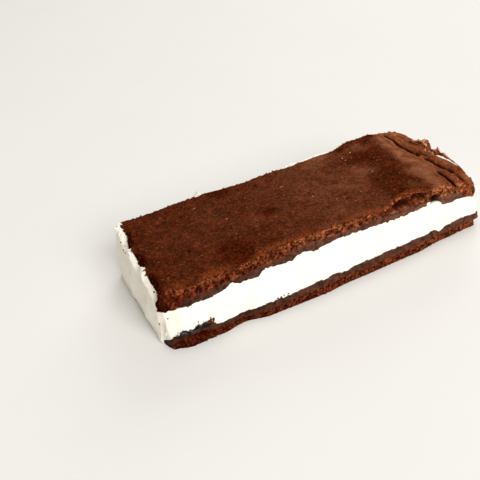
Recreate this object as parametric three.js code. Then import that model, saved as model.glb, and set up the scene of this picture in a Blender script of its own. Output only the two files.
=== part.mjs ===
// A hand-cut sponge bar: two thin chocolate sponges, each lined with dark chocolate, round a
// thick filling of cream that is also smeared up the left end. Millimetres, +Z up, resting on
// Z = 0. The bar lies along X with its cut front towards -Y. In the functions below x counts
// from the left end of the top sponge and y from the nominal front face.

import * as THREE from 'three';
import { mergeVertices } from 'three/addons/utils/BufferGeometryUtils.js';

const { clamp, lerp, smoothstep } = THREE.MathUtils;

// Driving dimensions: length of the top sponge, nominal width, height of the skin, the gap left
// between neighbouring layers, and the middle of the whole bar, which goes to the origin
const LENGTH = 134.6;
const WIDTH = 55;
const HEIGHT = 24.3;
const GAP = 0.3;
const MIDDLE = { x: 64.8, y: 26.1 };

// Level of each layer's top away from the cut front, from the lower sponge to the skin
const LEVELS = [2.9, 5.4, 18.9, 20.6, HEIGHT];
const LEVEL_WAVE = 0.4;
const LEVEL_WAVE_SIZE = 9;

// The cut front slants: [x, y] of its foot and of its top edge
const FRONT_FOOT = [
  [-3, 2], [0, -3], [6, -4.8], [18, -4.4], [27, -2.8], [37, -4.9], [58, -4.9], [72, -3.7],
  [100, -2.6], [115, -0.6], [131, 0.5],
];
const FRONT_EDGE = [
  [-3, 2.5], [0, 1.2], [10, 0], [50, 0.9], [86, -0.4], [101, 0.6], [114, -0.3], [131, 0.5],
];
const BACK_EDGE = [[0, 54], [35, 54.5], [44, 53], [96, 53.7], [107, 56.3], [131, 57]];

// [x, z] of each layer's top where it shows on the cut front
const LOWER_SPONGE_LINE = [[-2, 1.2], [3, 3.4], [10, 4.6], [17, 2.7], [26, 2.2], [60, 3], [131, 2.9]];
const LOWER_CHOCOLATE_LINE = [
  [-2.5, 2.2], [1, 5.6], [5, 7], [13, 7], [17, 4.1], [30, 4.2], [52, 5.5], [66, 5.7], [69, 4.6],
  [72, 5.4], [110, 6], [113, 4.4], [117, 5.6], [126, 5.7], [131, 4.8],
];
const CREAM_LINE = [
  [0, 15.2], [23, 16.2], [25.5, 16.7], [28, 15.9], [33, 15.8], [38, 18], [47, 17.4], [54, 18.9],
  [75, 19.2], [92, 18.5], [110, 18], [115, 16], [121, 16], [131, 13.4],
];
const UPPER_CHOCOLATE_LINE = [
  [10, 17.3], [29, 17.4], [38, 18.9], [45, 19], [54, 20.9], [86, 20.6], [105, 19.6], [118, 19.4],
  [131, 16.2],
];
const SKIN_LINE = [
  [0, 24], [11, 22], [16, 22.7], [34, 22.9], [44, 24], [64, 24.1], [80, 24.5], [87, 23.4],
  [93, 24.3], [104, 24.9], [113, 24.3], [119, 23.1], [131, 19.6],
];
const FRONT_LINES = [
  LOWER_SPONGE_LINE, LOWER_CHOCOLATE_LINE, CREAM_LINE, UPPER_CHOCOLATE_LINE, SKIN_LINE,
];

// The right end bows out, and there the top dips from a crest to the end
const BOW_MIDDLE = 32;
const BOW_HALF = 30;
const UPPER_BOW = 3.6;
const LOWER_BOW = 2.5;
const END_CORNER = { depth: 1, reach: 5 };
const END_ROUND = { depth: 0.8, start: 0.97 };
const CREST = { x: 116, rise: 0.35, half: 4 };
const END_DIP = { depth: 4.7, curve: 1.2 };
const END_BULGE = 1.2;

// The left end: how far the layers reach, and the cream smeared over them
const LEFT_WAVE = 0.9;
const LEFT_WAVE_SIZE = 7;
const LOWER_LEFT = -1.5;
const UPPER_LEFT = -0.6;
const COAT = { front: 0.8, back: 3.2, taper: 0.5, bulge: 1.2, bulgeHeight: 8, bulgeHalf: 8 };
const COAT_CORNER = { depth: 1.4, reach: 6 };
const LIP = [[0, 19.5], [8, 22.4], [WIDTH, 23.2]];
const LIP_SLOPE = 0.5;
const LIP_WAVE = 0.5;
const LIP_WAVE_SIZE = 2.2;

// Relief of the skin: soft dents, wrinkles [x, from y, to y, depth] and torn flakes at the end
const SAG_REACH = 11;
const DENT = 0.45;
const DENT_SIZE = 11;
const EDGE_FALL = 0.6;
const EDGE_REACH = 2.5;
const WRINKLES = [
  [124, 28, 52, 1.3], [126, 9, 23, 1.3], [122, 0, 11, 0.8], [129.5, 3, 12, 0.8], [131, 14, 33, 1.6],
];
const WRINKLE_HALF = 1.6;
const WRINKLE_FADE = 3;
const WRINKLE_WANDER = 0.5;
const WRINKLE_WANDER_SIZE = 4;
const FLAKES = [{ y: 37, half: 4, rise: 2.4, reach: 1.5 }, { y: 29, half: 3, rise: 1.8, reach: 1.8 }];
const FLAKE_START = 129.5;
const FLAKE_RUN = 2;

// Relief of the cut front: a torn hollow in the top sponge and a break in the chocolate below it
const CRAG = 0.3;
const CRAG_SIZE = 2.4;
const HOLLOW = { x: 101, half: 6.5, depth: 3 };
const BREAK = { x: 109, half: 3, depth: 4 };

// Grid of the solids: rows across each, steps up it, and columns, closer over the wrinkled end
const ROWS = { lowerSponge: 5, chocolate: 5, cream: 9, upperSponge: 18 };
const STEPS = { lowerSponge: 2, chocolate: 1, cream: 5, upperSponge: 3 };
const COLUMNS = 56;
const COAT_COLUMNS = 2;
const PLAIN_COLUMNS = 0.7;
const PLAIN_SHARE = 0.84;
const EDGE_ROWS = 0.6;

/** A curve through [position, value] points that eases from each to the next. */
function along(points, position) {
  let i = 0;
  while (i < points.length - 2 && position > points[i + 1][0]) i += 1;
  const [start, end] = [points[i], points[i + 1]];
  return lerp(start[1], end[1], smoothstep(position, start[0], end[0]));
}

/** A smooth bump of height 1 at the middle that ends half away from it. */
function bump(position, middle, half) {
  const away = clamp(Math.abs(position - middle) / half, 0, 1);
  return (1 - away * away) ** 2;
}

/** Repeatable unevenness between -1 and 1, with bumps about as large as size. */
function uneven(a, b, size, kind) {
  const [p, q] = [a / size, b / size];
  const broad = Math.sin(2.1 * p + 0.7 * q + 1.3 * kind);
  const cross = Math.sin(1.7 * q - 0.9 * p + 2.9 * kind);
  const fine = Math.sin(3.3 * p - 2.6 * q + 4.7 * kind);
  return (broad + cross + fine) / 3;
}

function frontAt(x, z) {
  return lerp(along(FRONT_FOOT, x), along(FRONT_EDGE, x), z / HEIGHT);
}

function backAt(x) {
  return along(BACK_EDGE, x);
}

function leftAt(y, upper) {
  return upper ? UPPER_LEFT + LEFT_WAVE * uneven(y, 0, LEFT_WAVE_SIZE, 1) : LOWER_LEFT;
}

function rightAt(y, upper) {
  const away = (y - BOW_MIDDLE) / BOW_HALF;
  const bow = (upper ? UPPER_BOW : LOWER_BOW) * away ** 2;
  const corners = bump(y, 0, END_CORNER.reach) + bump(y, WIDTH, END_CORNER.reach);
  return LENGTH - bow - END_CORNER.depth * corners;
}

/** How far the top has dipped at x on its way from the crest to the right end. */
function dipAt(x) {
  const way = clamp((x - CREST.x) / (LENGTH - CREST.x), 0, 1);
  return END_DIP.depth * way ** END_DIP.curve;
}

/** Top of a layer: along each column its line on the cut front goes over to its level at the back. */
function topAt(layer, column, v) {
  const dip = layer < 2 ? 0 : dipAt(column.x);
  const back = LEVELS[layer] - dip + LEVEL_WAVE * uneven(column.front, 0, LEVEL_WAVE_SIZE, layer);
  return lerp(along(FRONT_LINES[layer], column.front), back, v);
}

/** The torn, wrinkled stretch of skin past the crest. */
function endRelief(x, y) {
  let relief = CREST.rise * bump(x, CREST.x, CREST.half);
  for (const [middle, from, to, depth] of WRINKLES) {
    const inside = smoothstep(y, from - WRINKLE_FADE, from) - smoothstep(y, to, to + WRINKLE_FADE);
    const wander = WRINKLE_WANDER * uneven(y, 0, WRINKLE_WANDER_SIZE, middle);
    relief -= depth * inside * bump(x, middle + wander, WRINKLE_HALF);
  }
  for (const flake of FLAKES) {
    const outward = smoothstep(x, FLAKE_START, FLAKE_START + FLAKE_RUN);
    relief += flake.rise * bump(y, flake.y, flake.half) * outward;
  }
  return relief;
}

/** The browned skin: level, with soft dents, falling a little at its edges and at the sagging front. */
function skinAt(x, y, v) {
  const front = along(SKIN_LINE, x);
  const level = HEIGHT - dipAt(x) + DENT * uneven(x, y, DENT_SIZE, 3);
  const inward = smoothstep(v * WIDTH, 0, SAG_REACH);
  const toEdge = Math.min(v * WIDTH, (1 - v) * WIDTH, x - leftAt(y, true));
  const fall = EDGE_FALL * (1 - smoothstep(toEdge, 0, EDGE_REACH));
  return lerp(front, level, inward) - fall + endRelief(x, y);
}

/** Moves a point of a side face in or out a little, as a knife leaves soft crumb. */
function cragAt(x, z, v, kind) {
  if (v > 0 && v < 1) return 0;
  return CRAG * uneven(x, z, CRAG_SIZE, kind);
}

function columnShare(u) {
  if (u < PLAIN_COLUMNS) return (u / PLAIN_COLUMNS) * PLAIN_SHARE;
  return PLAIN_SHARE + ((u - PLAIN_COLUMNS) / (1 - PLAIN_COLUMNS)) * (1 - PLAIN_SHARE);
}

/** A column between the ends of the upper or the lower layers: its x at this row and at the front. */
function columnAt(u, v, upper) {
  const across = (row) => lerp(leftAt(row * WIDTH, upper), rightAt(row * WIDTH, upper), columnShare(u));
  return { x: across(v), front: across(0) };
}

/** A closed block of triangles, each of whose points is placed from its shares of three sides. */
function block(columns, rows, levels, place) {
  const box = new THREE.BoxGeometry(1, 1, 1, columns, rows, levels);
  box.deleteAttribute('normal');
  box.deleteAttribute('uv');
  const geometry = mergeVertices(box);
  const points = geometry.getAttribute('position');
  for (let i = 0; i < points.count; i += 1) {
    points.setXYZ(i, ...place(points.getX(i) + 0.5, points.getY(i) + 0.5, points.getZ(i) + 0.5));
  }
  geometry.computeVertexNormals();
  return geometry;
}

function lowerSponge() {
  return block(COLUMNS, ROWS.lowerSponge, STEPS.lowerSponge, (u, v, w) => {
    const column = columnAt(u, v, false);
    const x = column.x;
    const z = w * (topAt(0, column, v) - GAP / 2);
    const y = lerp(frontAt(x, z), backAt(x), v) + cragAt(x, z, v, 1);
    return [x, y, z];
  });
}

function chocolate(below, upper, breakDepth) {
  return block(COLUMNS, ROWS.chocolate, STEPS.chocolate, (u, v, w) => {
    const column = columnAt(u, v, upper);
    const x = column.x;
    const z = lerp(topAt(below, column, v) + GAP / 2, topAt(below + 1, column, v) - GAP / 2, w);
    const broken = breakDepth * bump(x, BREAK.x, BREAK.half) * (v === 0 ? 1 : 0);
    const y = lerp(frontAt(x, z), backAt(x), v) + broken + cragAt(x, z, v, 2);
    return [x, y, z];
  });
}

function upperSponge() {
  return block(COLUMNS, ROWS.upperSponge, STEPS.upperSponge, (u, share, w) => {
    const v = lerp(share, smoothstep(share, 0, 1), EDGE_ROWS);
    const yNominal = v * WIDTH;
    const column = columnAt(u, v, true);
    const flaked = FLAKES.reduce((sum, f) => sum + f.reach * bump(yNominal, f.y, f.half), 0);
    const rounding = END_ROUND.depth * (2 * w - 1) ** 2 * smoothstep(u, END_ROUND.start, 1);
    const x = column.x + flaked * smoothstep(column.x, FLAKE_START, LENGTH) - rounding;
    const z = lerp(topAt(3, column, v) + GAP / 2, skinAt(x, yNominal, v), w);
    const hollow = v === 0 ? HOLLOW.depth * bump(x, HOLLOW.x, HOLLOW.half) * Math.sin(Math.PI * w) : 0;
    const y = lerp(frontAt(x, z), backAt(x), v) + hollow + cragAt(x, z, v, 3);
    return [x, y, z];
  });
}

/** Inner wall of the cream on the left end, clear of every layer's edge. */
function coatWall(w) {
  return lerp(LOWER_LEFT, UPPER_LEFT - LEFT_WAVE, w) - GAP;
}

/** Outer face of the cream on the left end, which bulges below its middle. */
function coatFace(y, z) {
  const thick = lerp(COAT.front, COAT.back, Math.sqrt(y / WIDTH)) * (1 - (COAT.taper * z) / HEIGHT);
  const bulge = COAT.bulge * bump(z, COAT.bulgeHeight, COAT.bulgeHalf);
  const corner = COAT_CORNER.depth * bump(y, WIDTH, COAT_CORNER.reach);
  return coatWall(z / HEIGHT) - LIP_SLOPE - thick - bulge + corner;
}

function lipAt(y) {
  return along(LIP, y) + LIP_WAVE * uneven(y, 0, LIP_WAVE_SIZE, 5);
}

/** The filling: two columns more than its neighbours, for the coat that wraps the left end. */
function cream() {
  const columns = COLUMNS + COAT_COLUMNS;
  return block(columns, ROWS.cream, STEPS.cream, (u, v, w) => {
    const column = Math.round(u * columns);
    const yNominal = v * WIDTH;
    const inCoat = column < COAT_COLUMNS;
    const share = Math.max(column - COAT_COLUMNS, 0) / COLUMNS;
    const lower = columnAt(share, v, false);
    const upper = columnAt(share, v, true);
    const low = inCoat ? GAP : topAt(1, lower, v) + GAP / 2;
    const high = inCoat ? lipAt(yNominal) : topAt(2, upper, v) - GAP / 2;
    const z = lerp(low, high, w);
    let x = lerp(lower.x, upper.x, w);
    if (column === 0) x = coatFace(yNominal, z);
    if (column === 1) x = coatWall(w) - LIP_SLOPE;
    if (column === COAT_COLUMNS) x = coatWall(w);
    if (column === columns) x += END_BULGE * 4 * w * (1 - w);
    const y = lerp(frontAt(x, z), backAt(x), v);
    return [x, y, z];
  });
}

function piece(name, geometry, color, roughness) {
  const material = new THREE.MeshStandardMaterial({ color, roughness, metalness: 0 });
  const mesh = new THREE.Mesh(geometry, material);
  mesh.name = name;
  return mesh;
}

const bar = new THREE.Group();
bar.add(piece('sponge_bottom', lowerSponge(), 0x5c2c14, 0.9));
bar.add(piece('chocolate_bottom', chocolate(0, false, 0), 0x3e2418, 0.6));
bar.add(piece('cream', cream(), 0xfbf6ea, 0.6));
bar.add(piece('chocolate_top', chocolate(2, true, BREAK.depth), 0x3e2418, 0.6));
bar.add(piece('sponge_top', upperSponge(), 0x552814, 0.85));
bar.position.set(-MIDDLE.x, -MIDDLE.y, 0);

export default bar;
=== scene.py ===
# Looks of a hand-cut cream-filled sponge bar: two thin chocolate sponges, each lined with dark
# chocolate, round a thick filling of cream that is also smeared up the left end. Sizes are in
# millimetres: x counts from the left end of the top sponge, y from the nominal front, z from the floor.

import itertools
from collections import namedtuple

import bmesh
import bpy
import numpy as np
from mathutils import Matrix, Vector


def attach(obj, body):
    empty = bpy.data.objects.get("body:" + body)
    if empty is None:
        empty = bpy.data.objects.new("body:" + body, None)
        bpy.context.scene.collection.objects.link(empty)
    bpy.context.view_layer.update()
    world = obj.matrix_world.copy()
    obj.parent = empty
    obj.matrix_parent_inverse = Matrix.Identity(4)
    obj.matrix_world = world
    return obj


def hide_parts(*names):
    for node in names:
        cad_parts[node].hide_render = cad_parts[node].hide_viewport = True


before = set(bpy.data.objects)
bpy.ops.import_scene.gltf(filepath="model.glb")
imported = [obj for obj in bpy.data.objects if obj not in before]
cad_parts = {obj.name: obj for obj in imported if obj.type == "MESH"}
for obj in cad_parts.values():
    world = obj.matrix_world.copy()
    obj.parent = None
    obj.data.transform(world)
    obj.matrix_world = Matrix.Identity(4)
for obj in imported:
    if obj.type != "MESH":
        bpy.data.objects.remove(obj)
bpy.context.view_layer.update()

SEED = 5
MM = 0.001

# Main sizes: the top sponge's length, the nominal width, the height of the skin, how far
# neighbouring layers run into each other, and the point that lies over the frame's origin
LENGTH = 134.6
WIDTH = 55
HEIGHT = 24.3
TOUCH = 0.12
MIDDLE = np.array([64.8, 26.1, 0])

# The layers below the upper sponge, and the level of each one's top away from the cut front
LOWER_SPONGE, LOWER_CHOCOLATE, CREAM, UPPER_CHOCOLATE = range(4)
LEVELS = [2.9, 5.4, 18.9, 20.6]
LEVEL_WAVE = 0.4
LEVEL_WAVE_SIZE = 9

# The cut front slants: [x, y] of its foot and of its top edge
FRONT_FOOT = [
    [-3, 2], [0, -3], [6, -4.8], [18, -4.4], [27, -2.8], [37, -4.9], [58, -4.9], [72, -3.7],
    [100, -2.6], [115, -0.6], [131, 0.5],
]
FRONT_EDGE = [
    [-3, 2.5], [0, 1.2], [10, 0], [50, 0.9], [86, -0.4], [101, 0.6], [114, -0.3], [131, 0.5],
]
BACK_EDGE = [[0, 54], [35, 54.5], [44, 53], [96, 53.7], [107, 56.3], [131, 57]]

# [x, z] of each layer's top, and of the skin, where they show on the cut front
LOWER_SPONGE_LINE = [[-2, 1.2], [3, 3.4], [10, 4.6], [17, 2.7], [26, 2.2], [60, 3], [131, 2.9]]
LOWER_CHOCOLATE_LINE = [
    [-2.5, 1.9], [1, 4.5], [5, 6.6], [13, 7.1], [17.5, 4.6], [27, 4], [36, 4.9], [46, 4.8], [52, 5.5],
    [66, 5.7], [69, 4.9], [73, 5.9], [110, 6.1], [113, 4.7], [117, 6], [126, 6.2], [131, 5.2],
]
CREAM_LINE = [
    [0, 15.1], [21, 15.4], [25.8, 17.2], [28, 16.1], [35.5, 16.2], [38.3, 17.8], [49, 17.1], [53.3, 18.6],
    [58, 17.7], [74, 18.9], [99, 17.6], [108, 18.2], [112.5, 17.9], [115, 16.1], [121, 15.5], [131, 13.7],
]
UPPER_CHOCOLATE_LINE = [
    [4, 17.2], [10, 18], [29, 18.1], [38, 19.3], [45, 19.3], [54, 20.9], [86, 20.6], [96, 18.9],
    [101.5, 18.7], [105, 19.4], [118, 19.4], [131, 16.2],
]
SKIN_LINE = [
    [0, 24], [11, 22], [16, 22.7], [34, 22.9], [44, 24], [64, 24.1], [80, 24.5], [87, 23.4],
    [93, 24.3], [104, 24.9], [113, 24.3], [119, 23.1], [131, 19.6],
]
FRONT_LINES = [LOWER_SPONGE_LINE, LOWER_CHOCOLATE_LINE, CREAM_LINE, UPPER_CHOCOLATE_LINE]
RAGGED = 0.22
RAGGED_SIZE = 1.8

# The right end bows out, and there the top dips from a crest to the end
BOW_MIDDLE = 32
BOW_HALF = 30
UPPER_BOW = 3.6
LOWER_BOW = 2.5
END_CORNER = {"depth": 1, "reach": 5}
END_ROUND = {"depth": 0.8, "start": 0.97}
CREST = {"x": 116, "rise": 0.35, "half": 4}
END_DIP = {"depth": 4.7, "curve": 1.2}
END_BULGE = {"depth": 1.2, "start": 0.99}
END_CUT = 0.4

# The left end: how far the layers reach, and where the upper sponge's edge is ragged and torn
LEFT_WAVE = 0.9
LEFT_WAVE_SIZE = 7
LEFT_BACK = {"depth": 1.3, "run": (43, 55)}
LEFT_RAGGED = {"depth": 0.7, "size": 1.7, "reach": 3, "height": 3}
LEFT_TORN = {
    "lip": (1.1, 2.8), "bite": 1.5, "run": 6, "reach": 1.6, "wander": 0.9, "fall": 0.5, "dark": 0.9,
}
LOWER_LEFT = -1.5
UPPER_LEFT = -0.6
CORNER_SPREAD = {"lower": 1.1, "upper": 1.8, "reach": 5, "run": 6}

# The coat of cream on the left end, and [y, z] of the lip that it ends in
COAT_CLEAR = 0.7
COAT_SINK = 0.5
COAT = {"front": 0.8, "back": 3.2, "bulge": 1.2, "bulge_height": 8, "bulge_half": 8}
COAT_TAPER = [[0, 0.75], [38, 0.75], [WIDTH, 0.4]]
COAT_CORNER = {"depth": 0.6, "reach": 6}
COAT_RUN = 12
COAT_WAVE = {"depth": 0.65, "size": 8}
LIP = [
    [0, 15.6], [2.5, 16.8], [8, 20.2], [11, 21.2], [15, 23], [18, 22.4], [23, 20], [26.5, 20.9],
    [31, 23.2], [35, 22.3], [39.5, 19.4], [43, 20.6], [47, 23], [WIDTH, 24.1],
]
LIP_WAVE = 0.5
LIP_WAVE_SIZE = 2.2
LIP_ROUND = {"depth": 0.9, "power": 3}
LIP_BEAD = {"depth": 0.4, "size": 2.4, "reach": 2}
LIP_FOLLOW = 0.7

# Relief of the skin, with soft dents [x, y, half width, depth]
SAG_REACH = 11
DENT = 0.45
DENT_SIZE = 11
SOFT_DENTS = [[94.7, 11.6, 7, 0.5], [34.4, 9.4, 6, 0.4]]
SKIN_WAVE = 0.34
SKIN_WAVE_SIZE = 6
SKIN_EDGE = {"wander": 0.5, "size": 2, "run": (0.1, 1.1)}
EDGE_FALL = 0.6
EDGE_REACH = 2.5

# Tones of the layers along the bar, in [x, tone] points from 0 for dark to 1 for light, partly painted
# light and sheen, and soft patches of the skin that are lighter or darker, partly painted light and shade
# [x, y, half width, change]
# The skin grows lighter towards the right partly as painted light; its peak past the crest is partly a
# painted sheen on the slope and partly paler skin.
SKIN_TONE = [
    [0, 0.08], [45, 0.14], [80, 0.34], [92, 0.22], [100, 0.03], [109, 0.05], [116, 1], [121, 0.65],
    [135, 0.4],
]
# The crumb on the cut front grows lighter towards the right partly as painted light.
CRUMB_TONE = [
    [0, 0.04], [35, 0.16], [60, 0.43], [85, 0.35], [95, 0.05], [106, 0.35], [113, 1], [121, 1],
    [127, 0.4], [135, 0.45],
]
# The lower layers grow lighter towards the right partly as painted light, and the upper chocolate's light
# tones on the right are partly a painted sheen.
LOWER_CRUMB_TONE = [[0, 0], [60, 0.13], [95, 0.16], [131, 0.28]]
LOWER_CHOCOLATE_TONE = [[0, 0], [30, 0.05], [60, 0.25], [131, 0.4]]
UPPER_CHOCOLATE_TONE = [[0, 0.1], [30, 0.2], [70, 0.5], [90, 0.55], [100, 1], [131, 0.65]]
LOWER_SHADE = {"depth": 0.32, "run": (25, 80)}
# Painted highlight along the top of the crumb band, under the skin's front edge.
EDGE_HIGHLIGHT = {"most": 0.3, "start": 0.5}
FRONT_TONE = {"least": 0.8, "run": (6, 24)}
SKIN_PATCHES = [
    [89, 21, 8, 0.25], [98, 29, 8, 0.35], [88, 49, 8, 0.4], [98.5, 51, 4, -0.3], [106.5, 47, 6, 0.5],
    [107, 7, 5, 0.3], [98, 4, 4, -0.1], [32, 7, 9, -0.3], [53, 24, 6, -0.2], [42, 51, 7, -0.25],
    [71, 7, 6, 0.12], [129.5, 6, 5, 0.6], [130.5, 18, 8, 0.4],
]
# The tones, with the painted sheen past the crest, start further right towards the back.
TONE_BACK = {"depth": 7, "run": (32, 55)}
TONE_WANDER = 2.5
TONE_SIZE = 12
WARM = {"most": 0.42, "run": (118.5, 124)}
# Orange along the skin's front edge, partly a painted highlight.
EDGE_WARM = {"most": 0.7, "run": (0.3, 4.5), "size": 7, "spread": (-0.4, 0.3)}

# Blotches of the dark skin: colour, size, detail, the range of the noise they come in over, strength
DARK_BLOTCHES = [
    [(104, 34, 14), 5.3, 4, 0.47, 0.58, 0.45], [(60, 29, 4), 6.1, 4, 0.47, 0.58, 0.7],
    [(50, 15, 4), 5, 3, 0.47, 0.6, 0.6], [(44, 13, 3), 2.4, 3, 0.5, 0.6, 0.55],
]

# The skin past the crest: wrinkles [from x, from y, to x, to y, depth, half width], torn flakes
# [y, half width, rise, reach], patches where it is torn, and the tip at the right of the front
WRINKLES = [
    [123.6, 27, 122.7, 51, 2.2, 1.4], [119.3, 39, 120.2, 50, 0.35, 0.7], [119.2, 12, 119, 17, 0.3, 0.6],
    [126.8, 9, 124.8, 24, 2.8, 1.9], [120.9, -1, 121.4, 11, 1.5, 1.3], [127.6, 3.2, 127.2, 7, 2, 1.1],
    [127, 25.5, 123.8, 30.5, 1.8, 1.2], [131.4, 17, 131.6, 29, 1.7, 1],
]
WRINKLE_FADE = 1.5
WRINKLE_SHARP = 1.5
WRINKLE_STEEP = 0.6
# Painted shade darkens the floor of each wrinkle's groove.
WRINKLE_DARK = 3
WRINKLE_WANDER = 0.4
WRINKLE_WANDER_SIZE = 4
ROLL = {"share": 0.5, "away": 1.9, "half": 1.7}
FLAKES = [[37, 4, 2.4, 1.5], [29, 3, 0.9, 1.4]]
FLAKE_RUN = (129.5, 131.5)
FLAKE_TORN = (0.2, 1)
TORN_CORNER = {"most": 0.4, "x": (126.5, 128.5), "y": (3.5, 7)}
TORN_FOLD = {"most": 0.8, "run": (120, 125), "size": 2.2, "spread": (-0.2, 0.4)}
TIP = {
    "upper": 1, "chocolate": 1.3, "sponge": -0.5, "start": 0.975, "reach": 7,
    "smooth": 0.3, "run": (122, 126),
}

# Cut faces: torn crumb with pores, torn hollows [x, half width, depth, middle and half of the height
# as shares, darkness of their painted shade] between a lip and a rim with painted highlights, a break in
# the chocolate with painted shade in it, waves in the cream
# Painted shade: the crumb darkens in its pores and where its relief is low.
CRUMB_ROUGH = 0.24
CRUMB_SIZE = 1.1
CRUMB_SHADE = (-0.4, 0.5)
PORE_SIZE = 1.2
PORE_RIM = (0.15, 0.42)
PORE_DEPTH = 0.5
PORE_PATCH = {"size": 3.5, "spread": (-0.6, 0)}
HOLLOWS = [
    [98.5, 9, 2.8, 0.55, 0.8, 0.15], [98.2, 5, 1.2, 0.45, 0.34, 0.95], [105, 2.6, 2, 0.62, 0.36, 0.95],
    [111.2, 2.4, 2, 0, 0.6, 1],
]
HOLLOW_DARK = 1.6
HOLLOW_RAGGED_SIZE = 1.3
HOLLOW_SMOOTH = 0.25
HOLLOW_ROOF = 0.72
HOLLOW_REACH = 7
# Painted highlights: patches on the lip below the hollow, and a lighter rim at the hollow's top.
HOLLOW_LIP = {"x": 95, "half": 9, "top": 0.3, "pale": 0.5, "size": 1.3, "spread": (-0.3, 0.5)}
HOLLOW_RIM = {"x": 97, "half": 13, "start": 0.6, "pale": 0.8}
BREAK = {"x": 111.4, "half": 3, "depth": 1.4, "share": 0.1}
OVERHANG = {"left": (3, 8), "right": (121, 129), "recess": 0.9, "reach": 2.5}
SMEAR = {"run": (-1, 15), "fade": 1, "rise": (4.4, 5.4), "ragged": 2.5}
CHOCOLATE_ROUGH = 0.16
CHOCOLATE_SIZE = 1.5
CREAM_SET = [[-3.5, 0.8], [-0.5, 1], [6, 0]]
CREAM_WAVE = 0.16
CREAM_WAVE_SIZE = 5

# Loose grains: form of a lump, how many fine and coarse ones lie on each face and how large they are,
# and specks on the cream's front [x, z, size, depth of tone]
LUMP = {"size": 0.45, "stretch": (0.6, 1.25)}
LUMP_STEPS = {"fine": 1, "coarse": 2, "bead": 3}
CRUMB_DENT = 0.5
FLOOR_CLEAR = 0.02
FINE_COUNTS = {"top front": 1500, "top back": 800, "top right": 150, "low front": 1300, "low back": 600}
FINE_SIZES = (0.2, 0.5)
COARSE_COUNTS = {
    "top front": 240, "top back": 150, "top left": 170, "top right": 60, "low front": 90, "low back": 70,
    "lip": 12,
}
COARSE_SIZES = (0.4, 1)
GRAIN_START = 0.3
GRAIN_END = 125
GRAIN_CLEAR = 0.6
GRAIN_LIP = 0.12
GRAIN_TONES = (0.2, 0.8)
SMEAR_SPECKS = {"count": 36, "sizes": (0.2, 0.5), "rise": 0.4}
SPECKS = [
    [0.5, 12, 0.5, 0.9], [-2.4, 9, 0.5, 0.9], [10.2, 8.2, 0.5, 1], [8.6, 8.4, 0.45, 1], [6.4, 7.4, 0.4, 1],
    [15.8, 5.2, 1.3, 0], [15.2, 6.2, 1.4, 0.15], [15.7, 7.1, 1.1, 0], [14.5, 6.9, 1.2, 0.4],
    [14.9, 7.8, 0.7, 0], [40.8, 5.3, 0.6, 1], [42.2, 5.2, 0.9, 0.9], [43.4, 5.6, 0.6, 1],
    [45.2, 5.5, 0.7, 0.9],
]

# Beads of cream on the lip, and paths of cream strips and of the torn rim [x, y, z, height, thickness]
BEADS = {"count": 22, "sizes": (0.6, 1.5), "dent": 0.3, "start": 21.9}
CREAM_STRIPS = [
    [
        [131.3, 27.5, 20.3, 0.5, 0.5], [131.8, 24.5, 20.4, 0.6, 0.8], [132.4, 20, 20.6, 0.5, 0.6],
        [132.6, 14, 20.5, 0.5, 0.5],
    ],
    [[125.6, 23.4, 21.6, 0.7, 0.6], [126.4, 21.8, 21.5, 0.7, 0.6]],
    [[107.6, -0.1, 18.4, 1.9, 0.8], [109.4, -0.1, 18.9, 1.9, 0.8]],
    [[72, 53.5, 23.4, 0.6, 1.1], [76, 53.6, 23.7, 0.7, 1.2], [79.6, 53.6, 23.5, 0.6, 1.1]],
    [[80.5, 53.5, 23.6, 0.5, 0.9], [88, 53.7, 23.8, 0.5, 0.9], [96, 54, 23.4, 0.5, 0.9]],
    [[32.2, 54.3, 23.4, 1, 1.4], [34.2, 54.4, 24, 2.6, 1.6], [36, 54.3, 23.4, 1, 1.4]],
]
RIM_PATH = [
    [133.2, 29.8, 20.8, 0.8, 0.4], [133.6, 28.9, 21.6, 2.8, 0.35], [133.6, 27.8, 20.9, 1.2, 0.35],
    [133.6, 22, 20.6, 0.8, 0.4], [133.1, 15, 20.3, 0.8, 0.4], [132, 8, 19.8, 0.6, 0.4],
]
# The rim's paleness is partly a painted highlight.
RIM_PALE = 0.8
RIBBON_UNEVEN = 0.7
RIBBON_SIZE = 1.8
RIBBON_LEAST = 0.2
RIBBON_POINT = 0.1

# Clusters of torn flakes [start and end of their line, count, lengths], the form of a flake, and the
# heights where it pales, partly as a painted highlight
FLAKE_CLUSTERS = [
    [(130.6, 44, 20), (132, 34, 21.6), 20, (1, 2.8)],
    [(129.4, 33, 20.4), (130.4, 27.5, 20.4), 9, (0.8, 1.8)],
    [(132.6, 29.8, 20.6), (133, 28, 20.6), 2, (1.2, 2)],
]
FLAKE_WIDTHS = (0.8, 1.8)
FLAKE_LEANS = (25, 80)
FLAKE_CURL = 70
FLAKE_TAPER = 0.35
FLAKE_THICK = 0.45
FLAKE_PALENESS = (0.2, 1)
FLAKE_PALE = (19.8, 23)
FLAKE_RAGGED = 0.55
FLAKE_RAGGED_SIZE = 0.9

# Pale crumbs on the skin [x, y, size]
SKIN_CRUMBS = [
    [96, 43.3, 0.9], [96, 40.8, 0.7], [100.8, 44.9, 0.6], [71.6, 23.7, 0.6], [88.3, 15.4, 0.6],
    [78.1, 16.3, 0.5], [64.7, 38.9, 0.5], [65.8, 38.4, 0.5], [100.1, 26.2, 0.6], [29.1, 45.1, 0.8],
    [37, 29.3, 0.7], [36, 16.8, 0.5],
]
SKIN_CRUMB_PALE = 0.3

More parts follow.
